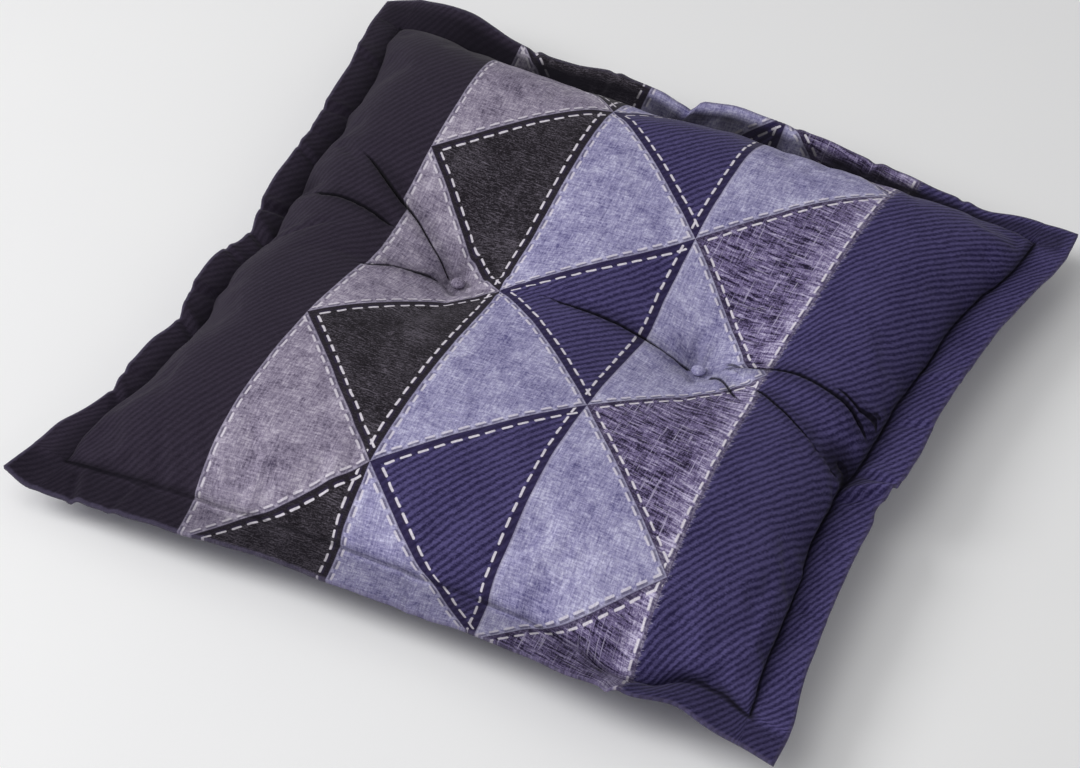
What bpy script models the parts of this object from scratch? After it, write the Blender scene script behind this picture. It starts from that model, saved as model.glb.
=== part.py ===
"""Square ottoman cushion, lying on its back: a filled cover with a flat flange and two buttoned tufts."""
import bpy
import bmesh
import numpy as np

MM = 0.001

# Outline of the cover, seen from above
TIP = 250 * MM  # from the centre to a flange corner, along each axis
SEAM_CORNER = 228 * MM  # from the centre to the seam, at a corner
SEAM_MIDDLE = 213 * MM  # the same over the middle, where the cloth is measured
FLANGE_CLOTH = 27 * MM
FLANGE_THICK = 2.6 * MM

# Heights
SEAM_HEIGHT = 39 * MM
CORNER_DROOP = 6 * MM
TIP_DROOP = 3 * MM
CROWN = 41 * MM
CROWN_POWER = 6  # higher is flatter on top
SHOULDER = 0.5  # higher comes down to the seam less steeply
FRONT_SHOULDER = 0.66
OVERHANG = {"left": 6 * MM, "right": 4 * MM, "front": 0 * MM, "back": 3 * MM}  # how far the crown bulges out over its seam
UNDER_FLAT = 1.08  # the underside fills out until it lies flat

# Tufts: a wide hollow with a pit on the face and a shallow dimple on the underside
TUFTS = {"left": (-75.7 * MM, 6.8 * MM), "right": (89.1 * MM, 6.1 * MM)}
TUFT_SEAT_TOP = 42.8 * MM
TUFT_SEAT_UNDER = 14 * MM
TUFT_SEAT_RADIUS = 6.5 * MM
TUFT_SPREAD = 65 * MM
TUFT_POWER = 1.5  # higher is flatter at the bottom
PIT_DEPTH = 7 * MM  # the last drop, close to the button
PIT_SPREAD = 9 * MM
TUFT_SPREAD_UNDER = 20 * MM
TUFT_REACH_UNDER = 58 * MM
GATHER = 8.4 * MM  # how far the cloth is pulled towards a tuft
GATHER_SPREAD = 63.7 * MM

# Covered buttons
BUTTON_RADIUS = 4.8 * MM
BUTTON_HEIGHT = 5 * MM
BUTTON_GAP = 0.3 * MM

# The four sides, drawn in and wavy. Columns: place along the side, how far the seam lies inside its
# corners and above the seam height there, and the same two for the edge of the flange, in mm
SIDES = {
    "left": [
        (-250, 0, 0, 0, 0),
        (-226, 9, 0, 9, 1),
        (-205, 14, -1, 15, 2),
        (-180, 22, -3, 28.5, 4),
        (-150, 28, -5, 29, 5),
        (-122, 31, -7, 30.5, 4),
        (-102, 32, -8, 34, 2),
        (-76, 28, -7, 30, 5),
        (-52, 27, -6, 27.5, 6),
        (-34, 30, -8, 29, 3),
        (-14, 34, -9, 33.5, 1),
        (4, 31, -8, 33, 3),
        (24, 27, -7, 28, 5),
        (50, 25, -6, 25.5, 6),
        (90, 23, -6, 24.5, 6),
        (130, 20, -5, 19, 6),
        (165, 15, -4, 14.5, 5),
        (195, 8, -2, 8.5, 4),
        (222, 1, 0, 3, 1),
        (250, 0, 0, 0, 0),
    ],
    "right": [
        (-250, 0, 0, 0, 0),
        (-226, 4, 0, 0, 0),
        (-195, 10, -2, 6.5, 1),
        (-160, 14, -5, 11, 2),
        (-120, 19, -7, 15, 2),
        (-85, 25, -8, 17.5, 2),
        (-58, 26, -8, 18.5, 1),
        (-44, 27, -9, 21.5, -1),
        (-35, 27, -9, 18.5, 5),
        (-22, 24, -8, 15.5, 3),
        (0, 23, -8, 14.5, 2),
        (50, 23, -7, 16.5, 2),
        (90, 20, -7, 14.5, 2),
        (130, 18, -5, 11.5, 2),
        (160, 12, -3, 7.5, 2),
        (190, 3, -1, 2.5, 1),
        (222, 0, 0, -1.5, 0),
        (250, 0, 0, 0, 0),
    ],
    "back": [
        (-250, 0, 0, 0, 0),
        (-228, 3, -1, -4, 4),
        (-205, 6, -4, -1.5, 8),
        (-185, 9, -6, -0.5, 8),
        (-168, 11, -8, 2.5, 5),
        (-150, 12, -9, 6.5, 1),
        (-130, 13, -9, 8, -1),
        (-70, 14, -9, 7, 2),
        (-42, 14, -9, 8.5, 1),
        (-20, 15, -9, 8.5, -4),
        (-8, 14, -8, 6.5, 3),
        (6, 13, -7, 9.5, 9),
        (50, 13, -8, 9.5, 9),
        (78, 13, -9, 10, 8),
        (104, 13, -9, 9, 4),
        (134, 13, -9, 8.5, 1),
        (164, 11, -8, 8.5, -2),
        (192, 8, -6, 8.5, -3),
        (216, 3, -2, 4.5, -1),
        (250, 0, 0, 0, 0),
    ],
    "front": [
        (-250, 0, 0, 0, 0),
        (-234, 0, -3, -1.5, -9),
        (-218, 1, -4, 1, -13),
        (-195, 2, -4, 1.5, -12),
        (-165, 3, -3, 2.5, -11),
        (-125, 4, -2, 4, -10),
        (-85, 5, -1, 8, -10),
        (-40, 6, 0, 8.5, -10),
        (20, 6, 0, 9.5, -10),
        (90, 6, -3, 7.5, -6),
        (118, 3, -7, 2.5, -2),
        (146, 0, -12, 1.5, 2),
        (166, 3, -10, 3, 3),
        (184, 11, -5, 9.5, 1),
        (204, 12, -3, 5, 1),
        (226, 3, 0, 2.5, 0),
        (250, 0, 0, 0, 0),
    ],
}

# Folds of the face cloth. Columns: start and end on the cloth, half width, depth, in mm
FOLDS = [
    (-88, 11, -186, 66, 9.0, 5.0),
    (-84, -1, -136, -35, 8.0, 4.5),
    (-128, 17, -184, 24, 9.0, 3.5),
    (88, 4, 16, -2, 8.0, 4.0),
    (96, 5, 127, -20, 8.0, 4.0),
    (136, -8, 212, -37, 9.0, 4.0),
    (134, 12, 234, 6, 9.0, 6.0),
]

# Spacing of the mesh: cells across the face, and how much closer they lie at the tufts and the seam
FACE_CELLS = 46
TUFT_LINE = 82 * MM  # where the tufts lie on the flat cloth
CLOSER_AT_TUFT = 2.2
CLOSER_AT_SEAM = 1.6


def crown_curve(across, shoulder=SHOULDER):
    """Height of the crown, 1 over the middle and 0 at the seam."""
    return np.clip(1 - np.abs(across) ** CROWN_POWER, 0, 1) ** shoulder


# Length of cloth from the middle to the seam, over the crown
STEPS = np.linspace(0, 1, 801)
STEP_LENGTHS = np.hypot(np.diff(STEPS * SEAM_MIDDLE), np.diff(CROWN * crown_curve(STEPS)))
CLOTH_TO_STEP = np.concatenate([[0], np.cumsum(STEP_LENGTHS)])
SEAM_CLOTH = CLOTH_TO_STEP[-1]
TIP_CLOTH = SEAM_CLOTH + FLANGE_CLOTH


def across_face(cloth):
    """Where a point of the cloth lies between the middle, 0, and the seam, 1 or -1."""
    inside = np.clip(np.abs(cloth), 0, SEAM_CLOTH)
    return np.sign(cloth) * np.interp(inside, CLOTH_TO_STEP, STEPS)


def over_flange(cloth):
    """0 up to the seam and 1 at the edge of the flange."""
    return np.clip((np.abs(cloth) - SEAM_CLOTH) / FLANGE_CLOTH, 0, 1)


def along_side(side, along):
    """The side's table read on a smooth curve: seam in, seam up, edge in and edge up at these places."""
    rows = np.array(SIDES[side], float) * MM
    places = rows[:, 0]
    slopes = np.gradient(rows[:, 1:], places, axis=0)
    row = np.clip(np.searchsorted(places, along) - 1, 0, len(places) - 2)
    step = (places[row + 1] - places[row])[..., None]
    share = (np.clip(along, places[0], places[-1]) - places[row])[..., None] / step
    rest = 1 - share
    curve = rows[row, 1:] * rest**2 * (1 + 2 * share) + rows[row + 1, 1:] * share**2 * (1 + 2 * rest)
    curve += step * (slopes[row] * share * rest**2 - slopes[row + 1] * share**2 * rest)
    return np.moveaxis(curve, -1, 0)


def either_side(cloth, along, positive, negative):
    """The table of whichever of two facing sides each point lies on."""
    return np.where(cloth > 0, along_side(positive, along), along_side(negative, along))


def bulge(cloth, across, along, positive, negative):
    """How far the crown's wall swells out over the seam, none at the seam itself and at the corners."""
    wall = crown_curve(across)
    size = np.where(cloth > 0, OVERHANG[positive], OVERHANG[negative])
    return np.sign(cloth) * size * 4 * wall * (1 - wall) * across**8 * (1 - along**6)


def fold_height(u, v):
    """Height of the folds: a valley along each row's line, with a soft ridge on both sides of it."""
    height = np.zeros_like(u)
    for u0, v0, u1, v1, width, depth in FOLDS:
        length = np.hypot(u1 - u0, v1 - v0) * MM
        du = (u1 - u0) * MM / length
        dv = (v1 - v0) * MM / length
        along = ((u - u0 * MM) * du + (v - v0 * MM) * dv) / length
        aside = ((v - v0 * MM) * du - (u - u0 * MM) * dv) / (width * MM)
        ends = np.clip(np.minimum(along, 1 - along) / 0.25, 0, 1)
        ends = ends * ends * (3 - 2 * ends)
        valley = np.exp(-(aside**2))
        ridges = np.exp(-((aside - 1.7) ** 2)) + np.exp(-((aside + 1.7) ** 2))
        height += depth * MM * ends * (0.45 * ridges - valley)
    return height


def seat_distance(x, y, centre):
    """Distance from the edge of a tuft's flat seat, 0 on the seat itself."""
    return np.clip(np.hypot(x - centre[0], y - centre[1]) - TUFT_SEAT_RADIUS, 0, None)


def sheet(u, v, under):
    """Places in space of the points (u, v) of the flat cloth, on the face or on the underside."""
    a = across_face(u)
    b = across_face(v)
    flange_x = over_flange(u)
    flange_y = over_flange(v)
    side_x = np.sign(u)
    side_y = np.sign(v)

    straight_x = side_x * (np.abs(a) * SEAM_CORNER + flange_x * (TIP - SEAM_CORNER))
    straight_y = side_y * (np.abs(b) * SEAM_CORNER + flange_y * (TIP - SEAM_CORNER))
    seam_in_x, seam_up_x, edge_in_x, edge_up_x = either_side(u, straight_y, "right", "left")
    seam_in_y, seam_up_y, edge_in_y, edge_up_y = either_side(v, straight_x, "back", "front")
    x = straight_x - side_x * (seam_in_x * (1 - flange_x) * a**4 + edge_in_x * flange_x)
    y = straight_y - side_y * (seam_in_y * (1 - flange_y) * b**4 + edge_in_y * flange_y)
    x += bulge(u, a, b, "right", "left")
    y += bulge(v, b, a, "back", "front")

    rise_x = flange_x * (1.5 - 0.5 * flange_x)
    rise_y = flange_y * (1.5 - 0.5 * flange_y)
    seam = SEAM_HEIGHT - CORNER_DROOP * np.abs(a * b) ** 3 - TIP_DROOP * flange_x * flange_y
    seam += seam_up_x * (1 - rise_x) * a**8 + edge_up_x * rise_x
    seam += seam_up_y * (1 - rise_y) * b**8 + edge_up_y * rise_y
    crown = crown_curve(a) * crown_curve(b, np.where(v < 0, FRONT_SHOULDER, SHOULDER))

    pull_x = np.zeros_like(x)
    pull_y = np.zeros_like(y)
    for centre in TUFTS.values():
        away = np.hypot(x - centre[0], y - centre[1])
        share = GATHER / GATHER_SPREAD * np.exp(1 - away / GATHER_SPREAD)
        pull_x += share * (x - centre[0])
        pull_y += share * (y - centre[1])
    x = x - pull_x * crown
    y = y - pull_y * crown

    if under:
        filled = np.clip(crown * UNDER_FLAT, 0, 1)
        z = (seam - FLANGE_THICK / 2) * (1 - filled)
        end = np.exp(-TUFT_REACH_UNDER / TUFT_SPREAD_UNDER)
        for centre in TUFTS.values():
            away = seat_distance(x, y, centre)
            dimple = np.clip(np.exp(-away / TUFT_SPREAD_UNDER) - end, 0, 1) / (1 - end)
            z = z + TUFT_SEAT_UNDER * dimple
        return x, y, z

    top = seam + FLANGE_THICK / 2 + CROWN * crown
    drop = SEAM_HEIGHT + FLANGE_THICK / 2 + CROWN - TUFT_SEAT_TOP
    away = [seat_distance(x, y, centre) for centre in TUFTS.values()]
    near = [np.exp(-((distance / TUFT_SPREAD) ** TUFT_POWER)) for distance in away]
    hollow = 1 - (1 - near[0]) * (1 - near[1])
    pit = sum(np.exp(-((distance / PIT_SPREAD) ** 2)) for distance in away)
    z = top + fold_height(u, v) * crown * (1 - pit)
    return x, y, z - ((drop - PIT_DEPTH) * hollow + PIT_DEPTH * pit) * crown


def cloth_lines(tuft_line):
    """Places of the mesh lines across the cloth, from edge to edge, closer at the tufts and the seam."""
    steps = np.linspace(-SEAM_CLOTH, SEAM_CLOTH, 4001)
    closeness = 1 + CLOSER_AT_TUFT * np.exp(-(((np.abs(steps) - tuft_line) / (14 * MM)) ** 2))
    closeness += CLOSER_AT_SEAM * np.exp(-(((np.abs(steps) - SEAM_CLOTH) / (12 * MM)) ** 2))
    count = np.concatenate([[0], np.cumsum((closeness[1:] + closeness[:-1]) / 2)])
    inner = np.interp(np.linspace(0, count[-1], FACE_CELLS + 1), count, steps)
    flange = SEAM_CLOTH + FLANGE_CLOTH * np.array([0.5, 1.0])
    return np.concatenate([-flange[::-1], inner, flange])


def lay_sheet(bm, lines_u, lines_v, under):
    """Adds one face of the cover to the mesh: a grid, laid on the shape."""
    cells = len(lines_u) - 1
    made = bmesh.ops.create_grid(bm, x_segments=cells, y_segments=cells, size=1.0)
    verts = made["verts"]
    flat = np.array([vert.co[:2] for vert in verts])
    places = np.rint((flat + 1) / 2 * cells).astype(int)
    x, y, z = sheet(lines_u[places[:, 0]], lines_v[places[:, 1]], under)
    for vert, point in zip(verts, np.stack([x, y, z], axis=1)):
        vert.co = point
    return verts


def cloth_material(name, colour, roughness):
    material = bpy.data.materials.new(name)
    material.use_nodes = True
    shader = material.node_tree.nodes["Principled BSDF"]
    shader.inputs["Base Color"].default_value = colour
    shader.inputs["Roughness"].default_value = roughness
    shader.inputs["Sheen Weight"].default_value = 0.25
    return material


def add_object(name, bm, material, collection):
    bmesh.ops.recalc_face_normals(bm, faces=bm.faces)
    mesh = bpy.data.meshes.new(name)
    bm.to_mesh(mesh)
    bm.free()
    mesh.materials.append(material)
    obj = bpy.data.objects.new(name, mesh)
    collection.objects.link(obj)
    return obj


def build_cushion(material, collection):
    """The filled cover: face and underside laid out, and their edges joined round the flange."""
    lines_u = cloth_lines(TUFT_LINE)
    lines_v = cloth_lines(0)
    bm = bmesh.new()
    lay_sheet(bm, lines_u, lines_v, under=False)
    lay_sheet(bm, lines_u, lines_v, under=True)
    rims = [edge for edge in bm.edges if edge.is_boundary]
    bmesh.ops.bridge_loops(bm, edges=rims)
    return add_object("cushion", bm, material, collection)


def build_button(name, centre, seat, up, material, collection):
    """A covered button: a flat back near its seat and a domed face, pinched in at the waist."""
    bm = bmesh.new()
    bmesh.ops.create_uvsphere(bm, u_segments=20, v_segments=12, radius=1.0)
    for vert in bm.verts:
        height = (vert.co.z + 1) / 2
        waist = 1 - 0.12 * (1 - height) ** 2
        flat_back = max(height - 0.12, 0) / 0.88
        vert.co.x = centre[0] + vert.co.x * BUTTON_RADIUS * waist
        vert.co.y = centre[1] + up * vert.co.y * BUTTON_RADIUS * waist
        vert.co.z = seat + up * (BUTTON_GAP + BUTTON_HEIGHT * flat_back)
    return add_object(name, bm, material, collection)


def main():
    for obj in list(bpy.data.objects):
        bpy.data.objects.remove(obj)
    collection = bpy.data.collections.new("ottoman_cushion")
    bpy.context.scene.collection.children.link(collection)
    cover = cloth_material("patchwork print cloth", (0.09, 0.08, 0.14, 1), 0.9)
    covered = cloth_material("button cloth", (0.30, 0.29, 0.42, 1), 0.85)
    build_cushion(cover, collection)
    for side, centre in TUFTS.items():
        build_button(f"button_{side}", centre, TUFT_SEAT_TOP, 1, covered, collection)
        build_button(f"button_under_{side}", centre, TUFT_SEAT_UNDER, -1, covered, collection)


main()
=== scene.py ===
from math import cos, pi, radians, sin

import bmesh
import bpy
import numpy as np
from mathutils import Matrix, Vector


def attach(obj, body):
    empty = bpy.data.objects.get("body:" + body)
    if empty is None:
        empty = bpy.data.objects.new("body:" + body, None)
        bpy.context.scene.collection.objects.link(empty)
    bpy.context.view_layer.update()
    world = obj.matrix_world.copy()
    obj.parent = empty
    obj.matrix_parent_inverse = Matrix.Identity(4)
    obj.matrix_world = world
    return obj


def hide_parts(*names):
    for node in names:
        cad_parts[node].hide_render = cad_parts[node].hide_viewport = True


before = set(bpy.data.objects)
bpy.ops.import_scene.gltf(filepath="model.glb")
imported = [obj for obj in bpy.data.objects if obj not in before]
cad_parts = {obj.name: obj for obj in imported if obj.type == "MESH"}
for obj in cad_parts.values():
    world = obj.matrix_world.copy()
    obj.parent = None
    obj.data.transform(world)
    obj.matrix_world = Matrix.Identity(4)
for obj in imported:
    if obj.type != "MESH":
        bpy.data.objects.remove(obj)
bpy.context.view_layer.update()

MM = 0.001

# Shape of the cover
# Outline, seen from above
TIP = 250 * MM
SEAM_CORNER = 228 * MM
SEAM_MIDDLE = 213 * MM
FLANGE_CLOTH = 27 * MM
FLANGE_THICK = 2.6 * MM

# Heights
SEAM_HEIGHT = 39 * MM
CORNER_DROOP = 6 * MM
TIP_DROOP = 3 * MM
CROWN = 41 * MM
CROWN_POWER = 6
SHOULDER = 0.5
FRONT_SHOULDER = 0.66
BACK_SHOULDER = 0.34
BACK_FULLEST = 85 * MM
BACK_REACH = 95 * MM
OVERHANG = {"left": 6 * MM, "right": 4 * MM, "front": 0 * MM, "back": 3 * MM}
UNDER_FLAT = 1.08

# Tufts
TUFTS = {"left": (-75.7 * MM, 6.8 * MM), "right": (89.1 * MM, 6.1 * MM)}
TUFT_SEAT_TOP = 42.8 * MM
TUFT_SEAT_UNDER = 14 * MM
TUFT_SEAT_RADIUS = 6.0 * MM
TUFT_SPREAD = 65 * MM
TUFT_POWER = 1.5
PIT_DEPTH = 7 * MM
PIT_SPREAD = 9 * MM
TUFT_SPREAD_UNDER = 20 * MM
TUFT_REACH_UNDER = 58 * MM
GATHER = 8.4 * MM
GATHER_SPREAD = 63.7 * MM
WRINKLE = 0.55 * MM
WRINKLE_REACH = 9 * MM

# The four sides, drawn in and wavy. Columns: place along the side, how far the seam lies inside its
# corners and above the seam height there, and the same two for the edge of the flange, in mm
SIDES = {
    "left": [
        (-250, 0, 0, 0, 0),
        (-226, 9, 0, 9, 1),
        (-205, 14, -1, 15, 2),
        (-180, 22, -3, 28.5, 4),
        (-150, 28, -5, 29, 5),
        (-122, 31, -7, 30.5, 4),
        (-102, 32, -8, 34, 2),
        (-76, 28, -7, 30, 5),
        (-52, 27, -6, 27.5, 6),
        (-34, 30, -8, 29, 3),
        (-14, 34, -9, 33.5, 1),
        (4, 31, -8, 33, 3),
        (24, 27, -7, 28, 5),
        (50, 25, -6, 25.5, 6),
        (90, 23, -6, 24.5, 6),
        (130, 20, -5, 19, 6),
        (165, 15, -4, 14.5, 5),
        (195, 8, -2, 8.5, 4),
        (222, 1, 0, 3, 1),
        (250, 0, 0, 0, 0),
    ],
    "right": [
        (-250, 0, 0, 0, 0),
        (-226, 4, 0, 0, 0),
        (-195, 10, -2, 6.5, 1),
        (-160, 14, -5, 11, 2),
        (-120, 19, -7, 15, 2),
        (-85, 25, -8, 17.5, 2),
        (-58, 26, -8, 18.5, 1),
        (-44, 27, -9, 21.5, -1),
        (-35, 27, -9, 18.5, 5),
        (-22, 24, -8, 15.5, 3),
        (0, 23, -8, 14.5, 2),
        (50, 23, -7, 16.5, 2),
        (90, 20, -7, 14.5, 2),
        (130, 18, -5, 11.5, 2),
        (160, 12, -3, 7.5, 2),
        (190, 3, -1, 2.5, 1),
        (222, 0, 0, -1.5, 0),
        (250, 0, 0, 0, 0),
    ],
    "back": [
        (-250, 0, 0, 0, 0),
        (-228, 3, -1, -4, 4),
        (-205, 6, -4, -1.5, 8),
        (-185, 9, -6, -0.5, 8),
        (-168, 11, -8, 2.5, 5),
        (-150, 12, -9, 6.5, 1),
        (-130, 13, -9, 8, -1),
        (-70, 14, -9, 7, 2),
        (-42, 14, -9, 8.5, 1),
        (-20, 15, -9, 8.5, -4),
        (-8, 14, -8, 6.5, 3),
        (6, 13, -7, 9.5, 9),
        (50, 13, -8, 9.5, 9),
        (78, 13, -9, 10, 8),
        (104, 13, -9, 9, 4),
        (134, 13, -9, 8.5, 1),
        (164, 11, -8, 8.5, -2),
        (192, 8, -6, 8.5, -3),
        (216, 3, -2, 4.5, -1),
        (250, 0, 0, 0, 0),
    ],
    "front": [
        (-250, 0, 0, 0, 0),
        (-234, 0, -3, -1.5, -9),
        (-218, 1, -4, 1, -13),
        (-195, 2, -4, 1.5, -12),
        (-165, 3, -3, 2.5, -11),
        (-125, 4, -2, 4, -10),
        (-85, 5, -1, 8, -10),
        (-40, 6, 0, 8.5, -10),
        (20, 6, 0, 9.5, -10),
        (90, 6, -3, 7.5, -6),
        (118, 3, -7, 2.5, -2),
        (146, 0, -12, 1.5, 2),
        (166, 3, -10, 3, 3),
        (184, 11, -5, 9.5, 1),
        (204, 12, -3, 5, 1),
        (226, 3, 0, 2.5, 0),
        (250, 0, 0, 0, 0),
    ],
}

# Creases of the face cloth. Each has its line on the flat cloth in mm, and then, in this order: half of the
# cloth that it takes up in mm, the share of it that stays open, the shares of its length over which it
# begins and ends, and the mask that it is kept in, so that creases that run close together are kept apart
CREASES = [
    # From the left tuft
    (
        [(-84, 8), (-102, 20), (-118, 31), (-134, 39), (-150, 48), (-166, 58), (-184, 68)],
        (5.6, 0.26, 0.05, 0.35, 0),
    ),
    (
        [(-82, -1), (-92, -6), (-105, -12), (-118, -18), (-127, -26), (-137, -36)],
        (4.6, 0.28, 0.06, 0.45, 1),
    ),
    (
        [(-126, 14), (-151, 18), (-169, 20), (-188, 21), (-204, 27)],
        (4.6, 0.28, 0.25, 0.35, 2),
    ),
    # From the right tuft towards the left one
    (
        [(84, 6), (65, 1.5), (49, 2.5), (33, 2), (15, 0), (-2, -1), (-12, 0), (-26, 4)],
        (5.6, 0.46, 0.04, 0.50, 0),
    ),
    # From the right tuft to the right-hand seam
    (
        [(97, 4), (108, -4), (117, -13), (128, -26), (136, -36)],
        (3.0, 0.30, 0.12, 0.45, 1),
    ),
    (
        [(134, -9), (154, -22), (174, -32), (191, -38), (208, -38), (222, -36)],
        (5.4, 0.26, 0.15, 0.20, 2),
    ),
    (
        [(96, 11), (116, 10), (140, 12), (158, 12), (173, 9), (186, 6), (205, 1), (226, 0)],
        (5.4, 0.24, 0.25, 0.20, 0),
    ),
    (
        [(176, 16), (190, 15), (203, 12), (216, 14), (228, 9)],
        (3.4, 0.24, 0.40, 0.30, 1),
    ),
    (
        [(100, 16), (114, 16), (130, 11)],
        (1.8, 0.30, 0.40, 0.40, 1),
    ),
    (
        [(204, 16), (214, 19), (226, 20)],
        (1.8, 0.30, 0.45, 0.45, 2),
    ),
    # Over the right-hand seam and on its flange
    (
        [(208, -24), (220, -25), (234, -31)],
        (4.4, 0.26, 0.30, 0.15, 1),
    ),
    (
        [(232, -25), (238, -29), (245, -33), (252, -35)],
        (0.9, 0.30, 0.30, 0.40, 2),
    ),
    # A faint arc over the front flange, by the left corner
    (
        [(-213, -244), (-203, -238), (-191, -232), (-178, -229), (-165, -232), (-150, -236), (-137, -246)],
        (1.5, 0.3, 0.3, 0.3, 0),
    ),
]
CREASE_GATHER = 20 * MM
CREASE_LIP = 7 * MM
CREASE_BOTTOM = 2.5 * MM
LIP_SHARE = 1.1

# Where the creases hold the cloth against the filling: how far from a crease, and how deep it is, in mm
HOLD_REACH = 11
HOLD_DEPTH = 2.5

# Pockets where the creases run down into the seam. Columns: u, v, reach along u, reach along v, depth, and
# how far the side is drawn in there, in mm on the flat cloth
POCKETS = [
    (218, -26, 24, 13, 9.0, 8.0),
    (222, 4, 14, 8, 4.0, 2.0),
    (-214, 34, 14, 10, 4.0, 3.0),
]

# The cloth along the seam: puckers, the groove of the seam, and ripples of the flange at the two sides and
# at the two ends
PUCKER = 0.9 * MM
PUCKER_REACH = 9 * MM
PUCKER_STEP_SIDES = 21 * MM
PUCKER_STEP_ENDS = 23 * MM
GROOVE = 1.4 * MM
GROOVE_REACH = 2.6 * MM
RIPPLE_SIDES = 0.9 * MM
RIPPLE_ENDS = 0.7 * MM
RIPPLE_STEP_SIDES = 34 * MM
RIPPLE_STEP_ENDS = 38 * MM

# Pleats across the flange. Columns: side, place along it, lean of the pleat, half width and depth, in mm
PLEATS = [
    ("left", -172, 12, 5, 3.0),
    ("left", -138, -8, 4, 1.8),
    ("left", -100, 10, 5, 4.2),
    ("left", -62, -8, 4, 2.4),
    ("left", -34, 6, 3, 1.8),
    ("left", -12, 8, 6, 4.6),
    ("left", 22, -10, 4, 2.8),
    ("left", 64, 6, 4, 2.0),
    ("left", 92, -5, 3, 1.4),
    ("left", 118, -8, 4, 2.6),
    ("left", 166, 6, 4, 1.6),
    ("right", -42, 8, 5, 4.0),
    ("right", -18, -6, 4, 2.4),
    ("right", 24, 5, 4, 1.4),
    ("right", 66, 8, 5, 1.6),
    ("right", -84, 5, 4, 1.2),
    ("right", -128, -8, 5, 1.6),
    ("back", -24, 6, 5, 3.6),
    ("back", -76, 5, 4, 1.4),
    ("back", -120, -6, 4, 2.0),
    ("back", 46, 5, 4, 1.2),
    ("back", 96, 8, 5, 2.0),
    ("back", 168, -6, 4, 1.6),
    ("front", 146, -10, 5, 3.4),
    ("front", -206, 10, 5, 2.8),
    ("front", -164, -6, 4, 1.4),
    ("front", 8, 6, 5, 1.0),
]


def bell(away, reach, power=2):
    """1 in the middle and falling off to nothing beyond the reach."""
    return np.exp(-((away / reach) ** power))


def crown_curve(across, shoulder=SHOULDER):
    """Height of the crown, 1 over the middle and 0 at the seam."""
    return np.clip(1 - np.abs(across) ** CROWN_POWER, 0, 1) ** shoulder


STEPS = np.linspace(0, 1, 801)
STEP_LENGTHS = np.hypot(np.diff(STEPS * SEAM_MIDDLE), np.diff(CROWN * crown_curve(STEPS)))
CLOTH_TO_STEP = np.concatenate([[0], np.cumsum(STEP_LENGTHS)])
SEAM_CLOTH = CLOTH_TO_STEP[-1]
TIP_CLOTH = SEAM_CLOTH + FLANGE_CLOTH


def across_face(cloth):
    """How far across the face a place on the cloth lies, from -1 to 1 at the seams."""
    inside = np.clip(np.abs(cloth), 0, SEAM_CLOTH)
    return np.sign(cloth) * np.interp(inside, CLOTH_TO_STEP, STEPS)


def over_flange(cloth):
    """How far over the flange it lies, 0 at the seam and 1 at the edge."""
    return np.clip((np.abs(cloth) - SEAM_CLOTH) / FLANGE_CLOTH, 0, 1)


def along_side(side, along):
    """The side's table read on a smooth curve: seam in, seam up, edge in and edge up at these places."""
    rows = np.array(SIDES[side], float) * MM
    places = rows[:, 0]
    slopes = np.gradient(rows[:, 1:], places, axis=0)
    row = np.clip(np.searchsorted(places, along) - 1, 0, len(places) - 2)
    step = (places[row + 1] - places[row])[..., None]
    share = (np.clip(along, places[0], places[-1]) - places[row])[..., None] / step
    rest = 1 - share
    curve = rows[row, 1:] * rest**2 * (1 + 2 * share) + rows[row + 1, 1:] * share**2 * (1 + 2 * rest)
    curve += step * (slopes[row] * share * rest**2 - slopes[row + 1] * share**2 * rest)
    return np.moveaxis(curve, -1, 0)


def either_side(cloth, along, positive, negative):
    """The table of whichever of two facing sides each point lies on."""
    return np.where(cloth > 0, along_side(positive, along), along_side(negative, along))


def crown_side(cloth, along, positive, negative, nearness):
    """How far the crown is drawn in: just as its seam is beside it, and more smoothly higher up."""
    tables = [either_side(cloth, along + step * MM, positive, negative)[0] for step in (-32, -16, 0, 16, 32)]
    return nearness * tables[2] + (1 - nearness) * sum(tables) / len(tables)


def bulge(cloth, across, along, positive, negative):
    """How far the crown's wall swells out over the seam, none at the seam itself and at the corners."""
    wall = crown_curve(across)
    size = np.where(cloth > 0, OVERHANG[positive], OVERHANG[negative])
    return np.sign(cloth) * size * 4 * wall * (1 - wall) * across**8 * (1 - along**6)


def uneven(along, across, seed, length):
    """A smooth uneven ripple between about -1 and 1, the same on every run."""
    total = np.zeros_like(along)
    for turn in range(1, 6):
        step = length * (0.55 + 0.23 * turn)
        slant = 0.35 * sin(seed * 1.7 + turn * 2.3)
        total += np.sin(2 * pi * (along + slant * across) / step + seed * 2.1 + turn * turn * 1.3)
    return total / 3.2


def nearest_on_line(u, v, line):
    """Signed distance from a line of points, share of its length, and the way across it."""
    points = np.array(line, float) * MM
    lengths = np.hypot(*(points[1:] - points[:-1]).T)
    starts = np.concatenate([[0], np.cumsum(lengths)])
    best = np.full(u.shape, np.inf)
    aside = np.zeros_like(u)
    share = np.zeros_like(u)
    across_u = np.zeros_like(u)
    across_v = np.zeros_like(u)
    for i, length in enumerate(lengths):
        du, dv = (points[i + 1] - points[i]) / length
        along = np.clip((u - points[i, 0]) * du + (v - points[i, 1]) * dv, 0, length)
        off_u = u - points[i, 0] - along * du
        off_v = v - points[i, 1] - along * dv
        away = np.hypot(off_u, off_v)
        nearer = away < best
        side = np.sign(off_v * du - off_u * dv)
        aside = np.where(nearer, side * away, aside)
        share = np.where(nearer, (starts[i] + along) / starts[-1], share)
        across_u = np.where(nearer, -dv, across_u)
        across_v = np.where(nearer, du, across_v)
        best = np.where(nearer, away, best)
    return aside, share, across_u, across_v


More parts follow.
